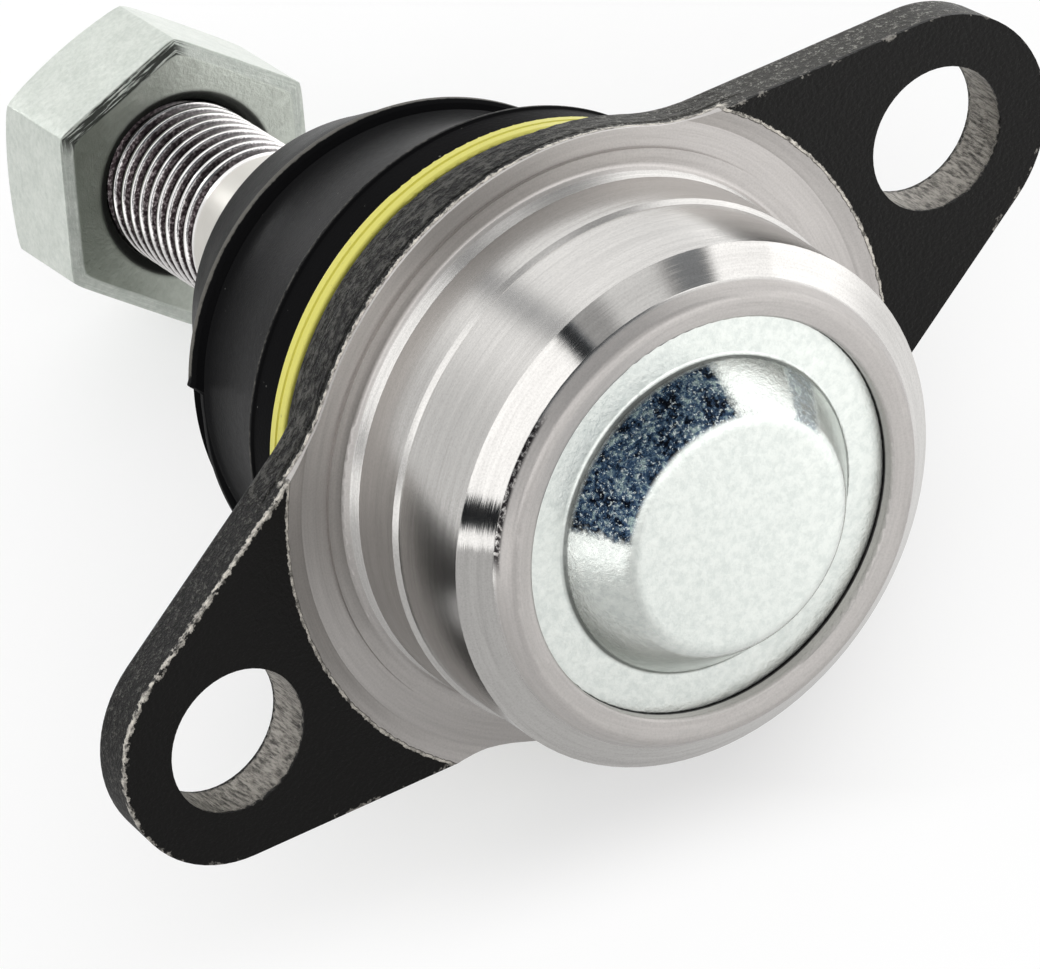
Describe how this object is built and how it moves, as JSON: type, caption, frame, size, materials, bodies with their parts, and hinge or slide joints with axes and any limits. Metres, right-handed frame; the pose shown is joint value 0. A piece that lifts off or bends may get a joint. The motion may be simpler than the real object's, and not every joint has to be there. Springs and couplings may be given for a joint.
{
  "type": "suspension ball joint",
  "caption": "Two-bolt flanged suspension ball joint: steel housing with round spigot and domed cover, ball stud, rubber boot and self-locking nut.",
  "frame": {"origin": "centre of the ball, on the axis of the housing's spigot", "axes": "+X through the two flange holes, -Y out of the cover end of the housing, +Y towards the stud, +Z across the flange's waist"},
  "size_m": [0.082, 0.0967, 0.0446],
  "materials": {
    "forged_steel": "black painted forging with a turned spigot",
    "zinc_cover": "pale zinc plating",
    "bearing_plastic": "natural acetal",
    "stud_steel": "rolled thread and ground shank",
    "boot_rubber": "satin",
    "clamp_yellow": "yellow coated spring steel",
    "end_ring_steel": "plain",
    "zinc_nut": "pale zinc plating",
    "insert_plastic": "polyamide"
  },
  "bodies": {
    "housing": {"housing": "forged_steel", "cover_plate": "zinc_cover", "bearing_front": "bearing_plastic", "bearing_rear": "bearing_plastic", "clamp_ring": "clamp_yellow"},
    "boot": {"dust_boot": "boot_rubber"},
    "boot_end": {"boot_end_ring": "end_ring_steel"},
    "stud": {"ball_stud": "stud_steel"},
    "insert": {"nut_insert": "insert_plastic"},
    "nut": {"hex_nut": "zinc_nut"}
  },
  "joints": [
    {"name": "swing_pitch", "type": "hinge", "parent": "housing", "child": "boot", "pos_m": [0, 0, 0], "axis": [1, 0, 0], "range_deg": [-8.8, 27.2], "deforming": ["dust_boot"]},
    {"name": "swing_yaw", "type": "hinge", "parent": "boot", "child": "boot_end", "pos_m": [0, 0, 0], "axis": [0, 0.1599, 0.9871], "range_deg": [-15, 21]},
    {"name": "stud_spin", "type": "hinge", "parent": "boot_end", "child": "stud", "pos_m": [0, 0, 0], "axis": [0.0523, 0.9858, -0.1597], "continuous": true},
    {"name": "nut_travel", "type": "slide", "parent": "stud", "child": "insert", "axis": [0.0523, 0.9858, -0.1597], "range_m": [-0.012, 0.006]},
    {"name": "nut_turn", "type": "hinge", "parent": "insert", "child": "nut", "pos_m": [0, 0, 0], "axis": [0.0523, 0.9858, -0.1597], "range_deg": [-2890, 1450]}
  ],
  "couplings": [
    {"joint": "nut_turn", "follows": "nut_travel", "rad_per_m": 4188.8}
  ]
}
